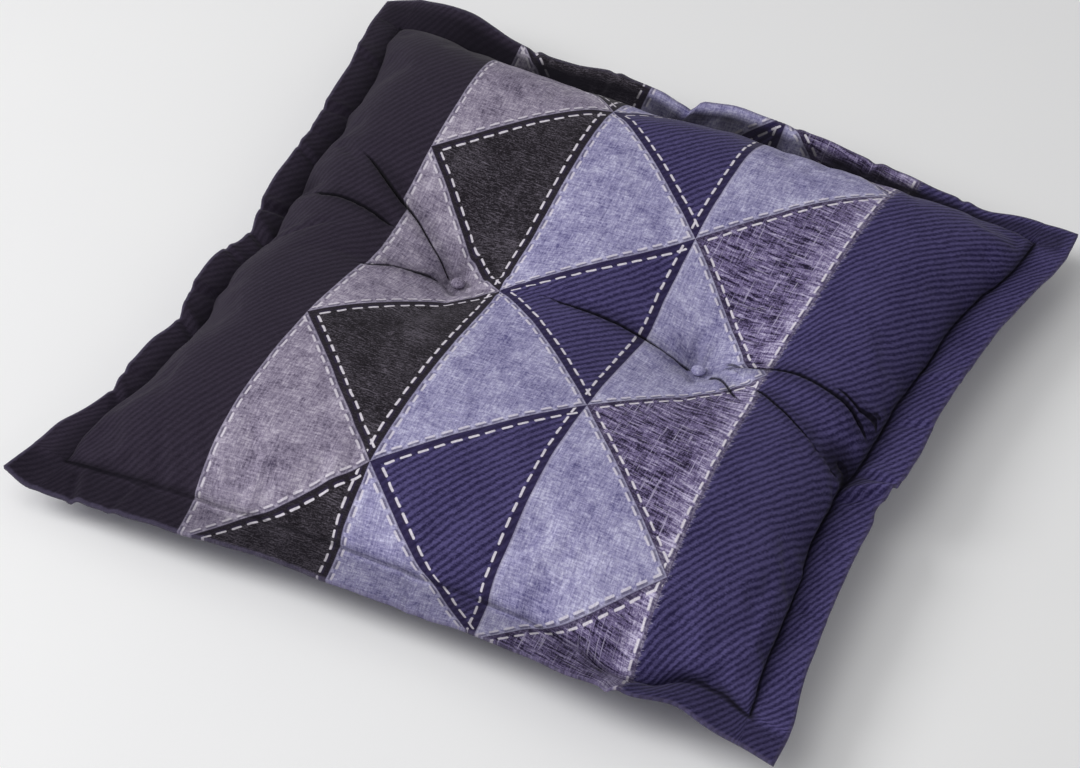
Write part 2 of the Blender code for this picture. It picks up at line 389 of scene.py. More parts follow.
def fade_ends(share, fade_in, fade_out):
    """1 along a crease, and smoothly down to 0 at its ends."""
    ends = np.clip(np.minimum(share / fade_in, (1 - share) / fade_out), 0, 1)
    return ends * ends * (3 - 2 * ends)


def creases(u, v):
    """How far the creases move the cloth: along u, along v and down."""
    move_u = np.zeros_like(u)
    move_v = np.zeros_like(u)
    drop = np.zeros_like(u)
    for line, (taken, open_share, fade_in, fade_out, _) in CREASES:
        aside, share, across_u, across_v = nearest_on_line(u, v, line)
        half = taken * MM * fade_ends(share, fade_in, fade_out)
        away = np.abs(aside)
        gathered = (1 - open_share) * half * np.exp(-(away - half) / CREASE_GATHER)
        closed = np.where(away < half, open_share * away, away - gathered)
        shift = (closed - away) * np.sign(aside)
        move_u += shift * across_u
        move_v += shift * across_v
        depth = np.clip(half - away, 0, None)
        lip = bell(away - half, CREASE_LIP) - 0.8 * bell(away, CREASE_BOTTOM)
        drop += depth - LIP_SHARE * (0.5 - open_share) * half * lip
    for place_u, place_v, reach_u, reach_v, depth, drawn_in in POCKETS:
        pocket = bell(u - place_u * MM, reach_u * MM) * bell(v - place_v * MM, reach_v * MM)
        drop += depth * MM * pocket
        move_u -= np.sign(place_u) * drawn_in * MM * pocket
    return move_u, move_v, drop


def crease_masks(u, v):
    """For the shading: signed distance in mm from the nearest crease of each mask, and how open it is."""
    asides = np.full(u.shape + (3,), 60.0)
    depths = np.zeros(u.shape + (3,))
    for line, (taken, _, fade_in, fade_out, mask) in CREASES:
        aside, share, _, _ = nearest_on_line(u, v, line)
        nearer = np.abs(aside) / MM < np.abs(asides[..., mask])
        asides[..., mask] = np.where(nearer, aside / MM, asides[..., mask])
        depths[..., mask] = np.where(nearer, taken * fade_ends(share, fade_in, fade_out), depths[..., mask])
    return asides, depths


def crease_hold(u, v):
    """1 in the creases and 0 well away from them, so that the filling doesn't push them flat."""
    asides, depths = crease_masks(u, v)
    return np.max(bell(asides, HOLD_REACH) * np.clip(depths / HOLD_DEPTH, 0, 1), axis=-1)


def pleat_drop(u, v):
    """How far the pleats lower the flange, with a small ridge on one side of each."""
    drop = np.zeros_like(u)
    for side, place, lean, width, depth in PLEATS:
        along, out = (v, u) if side in ("left", "right") else (u, v)
        out = out if side in ("right", "back") else -out
        past = out - SEAM_CLOTH
        off = (along - place * MM - lean * MM * past / FLANGE_CLOTH) / (width * MM)
        valley = bell(off * 1.6, 1) - 0.6 * bell(off - 1.1, 1)
        drop += depth * MM * valley * np.clip(past / (8 * MM), 0, 1) ** 1.2
    return drop


def tuft_pleats(x, y):
    """Small radial wrinkles of the face cloth round each button."""
    height = np.zeros_like(x)
    for turn, centre in enumerate(TUFTS.values()):
        away = np.hypot(x - centre[0], y - centre[1])
        angle = np.arctan2(y - centre[1], x - centre[0])
        rays = np.sin(7 * angle + 1.3 + turn) + 0.7 * np.sin(11 * angle + 0.4 + 2 * turn)
        reach = away / WRINKLE_REACH
        height += WRINKLE * rays * reach**2 * np.exp(1 - reach**1.3)
    return height


def seat_distance(x, y, centre):
    """How far outside the button's seat a point lies."""
    return np.clip(np.hypot(x - centre[0], y - centre[1]) - TUFT_SEAT_RADIUS, 0, None)


def seam_relief(u, v, a, b, flange_x, flange_y):
    """The puckers along the seam, the groove of the seam, and the waves and pleats of the flange."""
    ripple_x = uneven(v, u, 0.0, PUCKER_STEP_SIDES) * (1 - np.abs(b) ** 12)
    ripple_y = uneven(u, v, 2.6, PUCKER_STEP_ENDS) * (1 - np.abs(a) ** 12)
    near_x = bell(np.abs(np.abs(u) - SEAM_CLOTH), PUCKER_REACH, 1) * (1 - flange_y)
    near_y = bell(np.abs(np.abs(v) - SEAM_CLOTH), PUCKER_REACH, 1) * (1 - flange_x)
    pucker = PUCKER * (ripple_x * near_x + 0.7 * ripple_y * near_y)
    groove = GROOVE * bell(np.maximum(np.abs(u), np.abs(v)) - SEAM_CLOTH, GROOVE_REACH)
    waves = -pleat_drop(u, v)
    waves += RIPPLE_SIDES * (uneven(v, u, 4.2, RIPPLE_STEP_SIDES) * flange_x * (1 - flange_y))
    waves += RIPPLE_ENDS * (uneven(u, v, 5.1, RIPPLE_STEP_ENDS) * flange_y * (1 - flange_x))
    return pucker, groove, waves


def gather_to_tufts(x, y, crown):
    """The cloth is drawn together towards both tufts."""
    pull_x = np.zeros_like(x)
    pull_y = np.zeros_like(y)
    for centre in TUFTS.values():
        away = np.hypot(x - centre[0], y - centre[1])
        share = GATHER / GATHER_SPREAD * np.exp(1 - away / GATHER_SPREAD)
        pull_x += share * (x - centre[0])
        pull_y += share * (y - centre[1])
    return x - pull_x * crown, y - pull_y * crown


def under_height(x, y, seam, crown, pucker):
    """Height of the underside: flat where it rests, and drawn up at the two ties."""
    filled = np.clip(crown * UNDER_FLAT, 0, 1)
    z = (seam - FLANGE_THICK / 2) * (1 - filled)
    end = np.exp(-TUFT_REACH_UNDER / TUFT_SPREAD_UNDER)
    for centre in TUFTS.values():
        away = seat_distance(x, y, centre)
        dimple = np.clip(np.exp(-away / TUFT_SPREAD_UNDER) - end, 0, 1) / (1 - end)
        z = z + TUFT_SEAT_UNDER * dimple
    on_flange = np.clip(1 - crown * 8, 0, 1)
    return z + pucker * on_flange - pucker * (1 - filled) * (1 - on_flange)


def face_height(x, y, seam, crown):
    """Height of the face without its creases: the crown, less the hollows of the two tufts."""
    top = seam + FLANGE_THICK / 2 + CROWN * crown
    full_drop = SEAM_HEIGHT + FLANGE_THICK / 2 + CROWN - TUFT_SEAT_TOP
    away = [seat_distance(x, y, centre) for centre in TUFTS.values()]
    near = [bell(distance, TUFT_SPREAD, TUFT_POWER) for distance in away]
    hollow = 1 - (1 - near[0]) * (1 - near[1])
    pit = sum(bell(distance, PIT_SPREAD) for distance in away)
    return top - ((full_drop - PIT_DEPTH) * hollow + PIT_DEPTH * pit) * crown


def cover_sheet(u, v, under):
    """Places in space of the points (u, v) of the flat cloth, on the face or on the underside."""
    a = across_face(u)
    b = across_face(v)
    flange_x = over_flange(u)
    flange_y = over_flange(v)
    side_x = np.sign(u)
    side_y = np.sign(v)

    straight_x = side_x * (np.abs(a) * SEAM_CORNER + flange_x * (TIP - SEAM_CORNER))
    straight_y = side_y * (np.abs(b) * SEAM_CORNER + flange_y * (TIP - SEAM_CORNER))
    _, seam_up_x, edge_in_x, edge_up_x = either_side(u, straight_y, "right", "left")
    _, seam_up_y, edge_in_y, edge_up_y = either_side(v, straight_x, "back", "front")
    seam_in_x = crown_side(u, straight_y, "right", "left", np.abs(a) ** 40)
    seam_in_y = crown_side(v, straight_x, "back", "front", np.abs(b) ** 40)
    x = straight_x - side_x * (seam_in_x * (1 - flange_x) * a**4 + edge_in_x * flange_x)
    y = straight_y - side_y * (seam_in_y * (1 - flange_y) * b**4 + edge_in_y * flange_y)
    x += bulge(u, a, b, "right", "left")
    y += bulge(v, b, a, "back", "front")

    rise_x = flange_x * (1.5 - 0.5 * flange_x)
    rise_y = flange_y * (1.5 - 0.5 * flange_y)
    seam = SEAM_HEIGHT - CORNER_DROOP * np.abs(a * b) ** 3 - TIP_DROOP * flange_x * flange_y
    seam += seam_up_x * (1 - rise_x) * a**8 + edge_up_x * rise_x
    seam += seam_up_y * (1 - rise_y) * b**8 + edge_up_y * rise_y
    fuller = bell(u - BACK_FULLEST, BACK_REACH, 4)
    back_shoulder = SHOULDER + (BACK_SHOULDER - SHOULDER) * fuller
    crown = crown_curve(a) * crown_curve(b, np.where(v < 0, FRONT_SHOULDER, back_shoulder))
    x, y = gather_to_tufts(x, y, crown)
    pucker, groove, waves = seam_relief(u, v, a, b, flange_x, flange_y)
    seam += waves
    if under:
        return x, y, under_height(x, y, seam, crown, pucker)

    move_u, move_v, drop = creases(u, v)
    fit = np.clip(crown * 1.6, 0, 1)
    z = face_height(x, y, seam, crown) - drop * fit + pucker - groove + tuft_pleats(x, y)
    return x + move_u * fit, y + move_v * fit, z


# The mesh of the cover. The lines lie closer together where the creases are and beside the seam. Columns:
# middle of the place and half its width in mm, and how much closer the lines are there
CELLS = 280
FLANGE_CELLS = 10
CLOSER_U = [(-120, 78, 0.9), (140, 104, 0.9), (-238, 7, 1.6), (238, 7, 1.6)]
CLOSER_V = [(12, 58, 1.6), (-238, 7, 1.6), (238, 7, 1.6)]


def cloth_lines(cells, closer):
    """Places of the mesh lines across the cloth, from edge to edge."""
    steps = np.linspace(-SEAM_CLOTH, SEAM_CLOTH, 4001)
    closeness = np.ones_like(steps)
    for middle, width, share in closer:
        closeness += share * bell(steps - middle * MM, width * MM, 4)
    count = np.concatenate([[0], np.cumsum((closeness[1:] + closeness[:-1]) / 2)])
    inner = np.interp(np.linspace(0, count[-1], cells - 2 * FLANGE_CELLS + 1), count, steps)
    flange = SEAM_CLOTH + FLANGE_CLOTH * np.arange(1, FLANGE_CELLS + 1) / FLANGE_CELLS
    return np.concatenate([-flange[::-1], inner, flange])


def finish_mesh(bm, name):
    """The finished bmesh as a smooth mesh with its faces outwards."""
    bmesh.ops.recalc_face_normals(bm, faces=bm.faces)
    for face in bm.faces:
        face.smooth = True
    mesh = bpy.data.meshes.new(name)
    bm.to_mesh(mesh)
    bm.free()
    return mesh


def lay_sheet(bm, layers, lines_u, lines_v, under, moved):
    """Adds one sheet of the cover: a grid laid on the shape, with its place on the cloth as its UVs."""
    uv_layer, aside_layer, depth_layer, place_layer = layers
    cells_u = len(lines_u) - 1
    cells_v = len(lines_v) - 1
    made = bmesh.ops.create_grid(bm, x_segments=cells_u, y_segments=cells_v, size=1.0)
    verts = made["verts"]
    flat = np.array([vert.co[:2] for vert in verts])
    iu = np.rint((flat[:, 0] + 1) / 2 * cells_u).astype(int)
    iv = np.rint((flat[:, 1] + 1) / 2 * cells_v).astype(int)
    u, v = np.meshgrid(lines_u, lines_v, indexing="ij")
    places = np.stack(cover_sheet(u, v, under), axis=-1)
    if moved is not None:
        places = places + moved
    asides, depths = crease_masks(u, v)
    for vert, i, j in zip(verts, iu, iv):
        vert.co = places[i, j]
        vert[aside_layer] = asides[i, j]
        if not under:
            vert[depth_layer] = depths[i, j]
        vert[place_layer] = -1 if under else i * (cells_v + 1) + j
        for loop in vert.link_loops:
            loop[uv_layer].uv = (lines_u[i], lines_v[j])
    if under:
        for vert in verts:
            for face in vert.link_faces:
                face.material_index = 1


def cover_mesh(name, lines_u, lines_v, moved=None):
    """The closed cover: both sheets, joined round the edge of the flange. moved: the face's own movement."""
    bm = bmesh.new()
    uv_layer = bm.loops.layers.uv.new("cloth")
    aside_layer = bm.verts.layers.float_vector.new("crease aside")
    depth_layer = bm.verts.layers.float_vector.new("crease depth")
    place_layer = bm.verts.layers.int.new("grid place")
    layers = (uv_layer, aside_layer, depth_layer, place_layer)
    lay_sheet(bm, layers, lines_u, lines_v, False, moved)
    lay_sheet(bm, layers, lines_u, lines_v, True, None)
    place_of = {}
    for face in bm.faces:
        for loop in face.loops:
            place_of[loop.vert] = loop[uv_layer].uv.copy()
    rims = [edge for edge in bm.edges if edge.is_boundary]
    made = bmesh.ops.bridge_loops(bm, edges=rims)
    for face in made["faces"]:
        face.material_index = 0
        for loop in face.loops:
            loop[uv_layer].uv = place_of[loop.vert]
    return finish_mesh(bm, name)


# How the face settles over its filling
SETTLE_CAP = 3.5 * MM
SETTLE_FRAMES = 20
SETTLE_HALVINGS = 2
HOLD_LEVELS = 25
SOFT_HOLD = 0.04
SEAM_HOLD_REACH = 14 * MM
TUFT_HOLD_REACH = 12 * MM


def between(values):
    """Values on every mesh line, from values on every second one, by a smooth curve along the first axis."""
    padded = np.concatenate([2 * values[:1] - values[1:2], values, 2 * values[-1:] - values[-2:-1]])
    middles = (9 * (padded[1:-2] + padded[2:-1]) - padded[:-3] - padded[3:]) / 16
    full = np.zeros((2 * len(values) - 1,) + values.shape[1:])
    full[::2] = values
    full[1::2] = middles
    return full


def held_share(u, v, x, y):
    """How firmly the cloth is held: fully at the seam and round the tufts, and hardly at all between them."""
    inside = SEAM_CLOTH - np.maximum(np.abs(u), np.abs(v))
    hold = SOFT_HOLD + (1 - SOFT_HOLD) * np.clip(1 - inside / SEAM_HOLD_REACH, 0, 1) ** 2
    for centre in TUFTS.values():
        away = np.hypot(x - centre[0], y - centre[1])
        hold = np.maximum(hold, np.clip(1.5 - away / TUFT_HOLD_REACH, 0, 1))
    return hold


def run_cloth(soft):
    """Runs the cloth with the filling's pressure from within, and returns the vertices' last places."""
    filling = soft.modifiers.new("filling", "CLOTH")
    cloth = filling.settings
    cloth.quality = 5
    cloth.mass = 0.25
    cloth.tension_stiffness = 15
    cloth.compression_stiffness = 15
    cloth.shear_stiffness = 5
    cloth.bending_stiffness = 0.25
    cloth.shrink_min = -0.04
    cloth.use_pressure = True
    cloth.uniform_pressure_force = 4
    cloth.vertex_group_mass = "held"
    cloth.effector_weights.gravity = 0
    filling.collision_settings.use_collision = False
    filling.point_cache.frame_start = 1
    filling.point_cache.frame_end = SETTLE_FRAMES
    for frame_number in range(1, SETTLE_FRAMES + 1):
        bpy.context.scene.frame_set(frame_number)
    places = vertex_places(soft.evaluated_get(bpy.context.evaluated_depsgraph_get()).data)
    bpy.context.scene.frame_set(1)
    return places


def vertex_places(mesh):
    places = np.zeros(len(mesh.vertices) * 3)
    mesh.vertices.foreach_get("co", places)
    return places.reshape(-1, 3)


def settle_face(lines_u, lines_v):
    """Lets the face cloth settle over the filling, held at its seam and tufts. Returns how far it moves."""
    coarse_u = lines_u[:: 2**SETTLE_HALVINGS]
    coarse_v = lines_v[:: 2**SETTLE_HALVINGS]
    soft = add_piece("settling cover", cover_mesh("settling cover", coarse_u, coarse_v))
    mesh = soft.data
    start = vertex_places(mesh)
    place = np.zeros(len(mesh.vertices), int)
    mesh.attributes["grid place"].data.foreach_get("value", place)
    rows = len(coarse_v)
    face = place >= 0
    u = coarse_u[np.where(face, place // rows, 0)]
    v = coarse_v[np.where(face, place % rows, 0)]
    hold = np.where(face, held_share(u, v, start[:, 0], start[:, 1]), 1.0)
    held = soft.vertex_groups.new(name="held")
    for level in range(1, HOLD_LEVELS + 1):
        chosen = np.nonzero(np.rint(hold * HOLD_LEVELS) == level)[0]
        held.add([int(i) for i in chosen], level / HOLD_LEVELS, "REPLACE")
    shift = run_cloth(soft) - start
    bpy.data.objects.remove(soft)
    bpy.data.meshes.remove(mesh)

    length = np.linalg.norm(shift, axis=1, keepdims=True)
    shift = shift * SETTLE_CAP / (SETTLE_CAP + length)
    moved = np.zeros((len(coarse_u), rows, 3))
    moved[place[face] // rows, place[face] % rows] = shift[face]
    for _ in range(SETTLE_HALVINGS):
        moved = between(moved)
        moved = np.swapaxes(between(np.swapaxes(moved, 0, 1)), 0, 1)
    return moved


def add_piece(name, mesh, *materials):
    for material in materials:
        mesh.materials.append(material)
    obj = bpy.data.objects.new(name, mesh)
    bpy.context.scene.collection.objects.link(obj)
    return obj


# Finishes
def paint(red, green, blue):
    """A colour from its 0 to 255 values, as Blender mixes it."""
    values = []
    for value in (red, green, blue):
        value /= 255
        values.append(value / 12.92 if value <= 0.04045 else ((value + 0.055) / 1.055) ** 2.4)
    return (*values, 1.0)


# Colours of the cloths, by the names of their groups' sockets
NAVY = {"Rib": paint(88, 81, 128), "Furrow": paint(34, 28, 64)}
CHARCOAL = {"Rib": paint(55, 48, 63), "Furrow": paint(33, 27, 40)}
GREY = {"Pale": paint(192, 184, 200), "Middle": paint(140, 131, 152), "Deep": paint(78, 70, 92)}
BLUE = {"Pale": paint(206, 204, 230), "Middle": paint(150, 146, 184), "Deep": paint(88, 84, 130)}
BLACK = {"Ground": paint(27, 23, 29), "Fleck": paint(124, 117, 130)}
SLUB = {"Ground": paint(32, 24, 50), "Thread": paint(117, 105, 146), "Bleached": paint(206, 198, 226)}

# Colours of the seams in the print, of the painted shade in the seam and the folds, and of the worn edge
NAVY_MARGIN = paint(38, 31, 64)
BLACK_MARGIN = paint(36, 31, 40)
SLUB_MARGIN = paint(52, 44, 66)
PALE_RIDGE = paint(196, 191, 212)
JOIN = paint(56, 48, 74)
STITCH_THREAD = paint(226, 220, 230)
STITCH_SHADOW = paint(52, 44, 72)
# Colour of the painted shade in the seam, the creases, the pockets and the hollows round the tufts
FOLD_PAINTED_SHADE = paint(12, 9, 18)
WORN_EDGE = paint(112, 104, 134)

CLOTH_ROUGHNESS = 0.88
CLOTH_SHEEN = 0.06
WEAVE_HEIGHT = 0.12 * MM
WEAVE_STRENGTH = 0.6


class Bench:
    """Adds nodes to one tree. Each value is a number, a colour or another node's output."""

    def __init__(self, tree):
        self.tree = tree

    def node(self, kind, **settings):
        node = self.tree.nodes.new(kind)
        for name, value in settings.items():
            setattr(node, name, value)
        return node

    def put(self, socket, value):
        if isinstance(value, bpy.types.NodeSocket):
            self.tree.links.new(value, socket)
        else:
            socket.default_value = value

    def math(self, operation, *values, clamp=False):
        node = self.node("ShaderNodeMath", operation=operation, use_clamp=clamp)
        for socket, value in zip(node.inputs, values):
            self.put(socket, value)
        return node.outputs[0]

    def times(self, first, second):
        return self.math("MULTIPLY", first, second)

    def plus(self, first, second):
        return self.math("ADD", first, second)

    def minus(self, first, second):
        return self.math("SUBTRACT", first, second)

    def over(self, first, second):
        return self.math("DIVIDE", first, second)

    def most(self, first, second):
        return self.math("MAXIMUM", first, second)

    def line(self, value, slope, start):
        """The value on a straight line: times the slope, plus the start."""
        return self.math("MULTIPLY_ADD", value, slope, start)

    def size(self, value):
        return self.math("ABSOLUTE", value)

    def total(self, less, *parts):
        """The sum of the values, each taken with its share, less a number."""
        values = [self.times(value, share) for value, share in parts]
        whole = values[0]
        for value in values[1:]:
            whole = self.plus(whole, value)
        return self.minus(whole, less)

    def vector(self, operation, *values, scale=None):
        node = self.node("ShaderNodeVectorMath", operation=operation)
        for socket, value in zip(node.inputs, values):
            self.put(socket, value)
        if scale is not None:
            self.put(node.inputs["Scale"], scale)
        return node.outputs["Value" if operation == "DOT_PRODUCT" else "Vector"]

    def parts(self, place):
        """The three parts of a place or another vector."""
        node = self.node("ShaderNodeSeparateXYZ")
        self.put(node.inputs[0], place)
        return node.outputs

    def step(self, value, low, high):
        """0 below low, 1 above high, smooth between. low may be the larger."""
        node = self.node("ShaderNodeMapRange", interpolation_type="SMOOTHSTEP")
        flip = low > high
        self.put(node.inputs["Value"], value)
        self.put(node.inputs["From Min"], min(low, high))
        self.put(node.inputs["From Max"], max(low, high))
        self.put(node.inputs["To Min"], 1.0 if flip else 0.0)
        self.put(node.inputs["To Max"], 0.0 if flip else 1.0)
        return node.outputs["Result"]

    def mix(self, share, first, second, blend="MIX"):
        node = self.node("ShaderNodeMix", data_type="RGBA", blend_type=blend)
        self.put(node.inputs[0], share)
        self.put(node.inputs[6], first)
        self.put(node.inputs[7], second)
        return node.outputs[2]

    def stretch(self, place, angle, along, across):
        """The place turned by an angle in degrees, then counted in steps of these lengths."""
        turned = self.node("ShaderNodeMapping", vector_type="TEXTURE")
        self.put(turned.inputs["Vector"], place)
        turned.inputs["Rotation"].default_value = (0, 0, radians(angle))
        turned.inputs["Scale"].default_value = (along, across, 1)
        return turned.outputs[0]

    def noise(self, place, scale=1.0, detail=2.0, roughness=0.5, distortion=0.0, colour=False):
        node = self.node("ShaderNodeTexNoise", noise_dimensions="3D")
        self.put(node.inputs["Vector"], place)
        self.put(node.inputs["Scale"], scale)
        self.put(node.inputs["Detail"], detail)
        self.put(node.inputs["Roughness"], roughness)
        self.put(node.inputs["Distortion"], distortion)
        return node.outputs["Color" if colour else "Fac"]

    def streaks(self, place, angle, along, across, *settings):
        """Noise drawn out along an angle, with streaks of this length and width in mm."""
        return self.noise(self.stretch(place, angle, along, across), 1.0, *settings)


def make_group(name, inputs, outputs):
    """An empty node group with named sockets, and a bench to fill it. A number is a value's own setting."""
    tree = bpy.data.node_groups.new(name, "ShaderNodeTree")
    for label, kind in inputs.items():
        named = isinstance(kind, str)
        socket_type = "NodeSocket" + (kind if named else "Float")
        socket = tree.interface.new_socket(label, in_out="INPUT", socket_type=socket_type)
        if not named:
            socket.default_value = kind
    for label, kind in outputs.items():
        tree.interface.new_socket(label, in_out="OUTPUT", socket_type="NodeSocket" + kind)
    bench = Bench(tree)
    source = bench.node("NodeGroupInput")
    result = bench.node("NodeGroupOutput")
    return tree, bench, source.outputs, result.inputs


def use_group(bench, tree, **values):
    node = bench.node("ShaderNodeGroup", node_tree=tree)
    for name, value in values.items():
        bench.put(node.inputs[name], value)
    return node.outputs


def cotton_weave_group():
    """The real cloth under the print: a fine plain weave with uneven threads."""
    tree, b, given, out = make_group(
        "plain cotton weave",
        {"Place": "Vector", "Pitch": 0.55},
        {"Height": "Float", "Tone": "Float"},
    )
    place = given["Place"]
    across, up, _ = b.parts(b.vector("DIVIDE", place, given["Pitch"]))
    warp = b.math("SINE", b.times(across, pi))
    weft = b.math("SINE", b.times(up, pi))
    slubs = b.plus(b.streaks(place, 0, 24, 0.6, 2.0), b.streaks(place, 90, 24, 0.6, 2.0))
    b.put(out["Height"], b.plus(b.times(b.times(warp, weft), 0.5), slubs))
    b.put(out["Tone"], b.line(b.minus(slubs, 1.0), 0.9, 1.0))
    return tree


def twill_group():
    """Diagonal ribs of uneven width, broken up where the weft shows."""
    tree, b, given, out = make_group(
        "ribbed twill",
        {"Place": "Vector", "Pitch": 4.0, "Rib": "Color", "Furrow": "Color", "Depth": 1.0},
        {"Color": "Color", "Height": "Float"},
    )
    place = given["Place"]
    rib_angle = 56
    counted = b.over(b.parts(b.stretch(place, rib_angle, 1, 1))[1], given["Pitch"])
    bend = b.times(b.minus(b.noise(place, 0.05, 3.0), 0.5), 0.95)
    turn = b.times(b.plus(counted, bend), 2 * pi)
    wavy = b.line(b.math("SINE", turn), 0.5, 0.5)
    fibre = b.streaks(place, rib_angle, 3.2, 0.9, 3.0, 0.65)
    weft = b.streaks(place, -2, 4.5, 0.9, 3.0, 0.7)
    cloud = b.noise(place, 0.03, 3.0, 0.6)
    speck = b.noise(place, 0.9, 2.0, 0.7)
    level = b.total(1.275, (wavy, 0.5), (fibre, 1.0), (weft, 0.9), (speck, 0.8), (cloud, 0.35))
    level = b.line(b.minus(level, 0.5), given["Depth"], 0.5)
    b.put(out["Color"], b.mix(b.step(level, 0.05, 1.0), given["Furrow"], given["Rib"]))
    b.put(out["Height"], level)
    return tree


def chambray_group():
    """Washed pale denim: mottled, with fine streaks both ways, thin scratches, and slightly paler towards its
    seams.
    """
    tree, b, given, out = make_group(
        "washed chambray",
        {"Place": "Vector", "Inset": 20.0, "Pale": "Color", "Middle": "Color", "Deep": "Color"},
        {"Color": "Color"},
    )
    place = given["Place"]
    cloud = b.noise(place, 0.034, 3.0, 0.6, 0.5)
    blotch = b.noise(place, 0.16, 4.0, 0.7, 0.7)
    streak_a = b.streaks(place, 4, 8.0, 1.2, 3.0, 0.7)
    streak_b = b.streaks(place, 94, 8.0, 1.2, 3.0, 0.7)
    grain = b.noise(place, 0.62, 3.0, 0.8)
    level = b.total(2.67, (cloud, 1.2), (blotch, 1.15), (streak_a, 1.3), (streak_b, 1.3), (grain, 1.3))
    worn = b.step(given["Inset"], 24.0, 2.0)
    level = b.plus(level, b.times(worn, 0.08))
    deep = b.mix(b.step(level, -0.15, 0.55), given["Deep"], given["Middle"])
    colour = b.mix(b.step(level, 0.4, 1.15), deep, given["Pale"])
    scratches = b.most(b.streaks(place, 38, 14.0, 0.45, 1.0), b.streaks(place, 128, 14.0, 0.45, 1.0))
    scratch = b.step(scratches, 0.66, 0.80)
    b.put(out["Color"], b.mix(b.times(scratch, 0.4), colour, given["Pale"]))
    return tree


def raw_denim_group():
    """Near-black denim with fine pale flecks lying along the weft."""
    tree, b, given, out = make_group(
        "raw denim",
        {"Place": "Vector", "Ground": "Color", "Fleck": "Color"},
        {"Color": "Color"},
    )
    place = given["Place"]
    dashes = b.streaks(place, 3, 4.6, 0.85, 3.0, 0.7)
    grain = b.noise(place, 0.85, 2.0, 0.75)
    scratches = b.streaks(place, -4, 22.0, 0.8, 2.0, 0.7)
    cloud = b.noise(place, 0.04, 3.0, 0.6)
    fleck = b.step(b.total(0.86, (dashes, 1.3), (grain, 0.9), (cloud, 0.45)), 0.32, 1.1)
    scratch = b.step(b.line(cloud, 0.25, scratches), 0.70, 0.88)
    share = b.most(fleck, b.times(scratch, 0.8))
    b.put(out["Color"], b.mix(share, given["Ground"], given["Fleck"]))
    return tree


def slub_denim_group():
    """Crosshatched denim: thick uneven rows of weft, thin upright threads, some bleached nearly white."""
    tree, b, given, out = make_group(
        "slub denim",
        {"Place": "Vector", "Ground": "Color", "Thread": "Color", "Bleached": "Color", "Wear": 0.0},
        {"Color": "Color"},
    )
    place = given["Place"]
    weft = b.streaks(place, -5, 15.0, 1.9, 3.0, 0.7, 0.3)
    warp = b.streaks(place, 92, 11.0, 1.4, 3.0, 0.7)
    cloud = b.noise(place, 0.06, 3.0, 0.6)
    fine = b.noise(place, 1.0, 2.0, 0.8)
    level = b.total(1.99, (weft, 2.3), (warp, 1.0), (fine, 1.1), (cloud, 0.5), (given["Wear"], 0.28))
    body = b.mix(b.step(level, 0.16, 0.62), given["Ground"], given["Thread"])
    long_weft = b.streaks(place, -5, 24.0, 1.6, 2.0, 0.6, 0.4)
    long_warp = b.streaks(place, 92, 26.0, 1.5, 2.0, 0.6, 0.4)
    slub = b.step(b.most(long_weft, long_warp), 0.60, 0.70)
    bright = b.most(b.step(level, 0.55, 1.15), b.times(slub, 0.5))
    b.put(out["Color"], b.mix(bright, body, given["Bleached"]))
    return tree


def running_stitch_group():
    """Dashes of thread along a line: the thread itself and the thin shadow beside it."""
    tree, b, given, out = make_group(
        "running stitch",
        {"Along": 0.0, "Aside": 0.0, "Length": 6.2, "Pitch": 9.6, "Width": 1.35, "Wander": 0.5},
        {"Thread": "Float", "Shadow": "Float"},
    )
    shift = b.times(b.minus(given["Wander"], 0.5), 2.6)
    counted = b.over(b.plus(given["Along"], shift), given["Pitch"])
    along = b.times(b.math("PINGPONG", counted, 0.5), given["Pitch"])
    half = b.times(given["Length"], 0.5)
    half_width = b.times(given["Width"], 0.5)
    past_end = b.most(b.minus(along, b.minus(half, 0.6)), 0.0)
    aside = b.plus(given["Aside"], b.times(shift, 0.4))
    away = b.math("SQRT", b.plus(b.math("POWER", past_end, 2.0), b.math("POWER", aside, 2.0)))
    b.put(out["Thread"], b.step(b.minus(away, half_width), 0.28, -0.22))
    beside = b.minus(b.size(b.plus(aside, given["Width"])), half_width)
    inside = b.step(b.minus(along, half), 0.9, -0.4)
    b.put(out["Shadow"], b.times(b.step(beside, 0.35, -0.25), inside))
    return tree


# Painted shade in the seam and the folds. Places in mm on the flat cloth, strengths between 0 and 1
SEAM = SEAM_CLOTH / MM
# Strength of the thin line of painted shade in the seam's groove
SEAM_LINE_SHADE = 0.9
# Where a side begins to count as one side, and where it does in full
SIDE_START = 205.0
SIDE_FULL = 228.0
# Soft painted shade beside the seam: how far from the seam it ends, where it is full, and its strength
SEAM_SHADE = {
    "all round": (9.0, 0.0, 0.42),
    "back": (25.0, 16.5, 1.0),
    "left": (20.0, 8.0, 0.4),
    "front right": (7.5, 1.0, 0.85),
}
# Painted shade on the crown's wall over the right-hand seam
RIGHT_WALL_SHADE = 0.34  # on the crown's wall over the right-hand seam
# Strengths of the painted shade in the creases and of the wider painted shade round them
CREASE_SHADE = 0.9
CREASE_HALO = 0.34  # the wider shade round a crease
# Painted shade in the pockets at the seam
POCKET_SHADE = 0.085  # for each mm of a pocket's depth
# Painted shade in the hollows round the tufts
HOLLOWS = ((-82.7, 7.0), (85.5, 5.0))  # the tufts' places on the flat cloth
HOLLOW_REACH = 38.0
HOLLOW_SHADE = 0.28
# Painted shade over the front flange
FRONT_FLANGE_SHADE = 0.4
EDGE_WEAR = 0.28


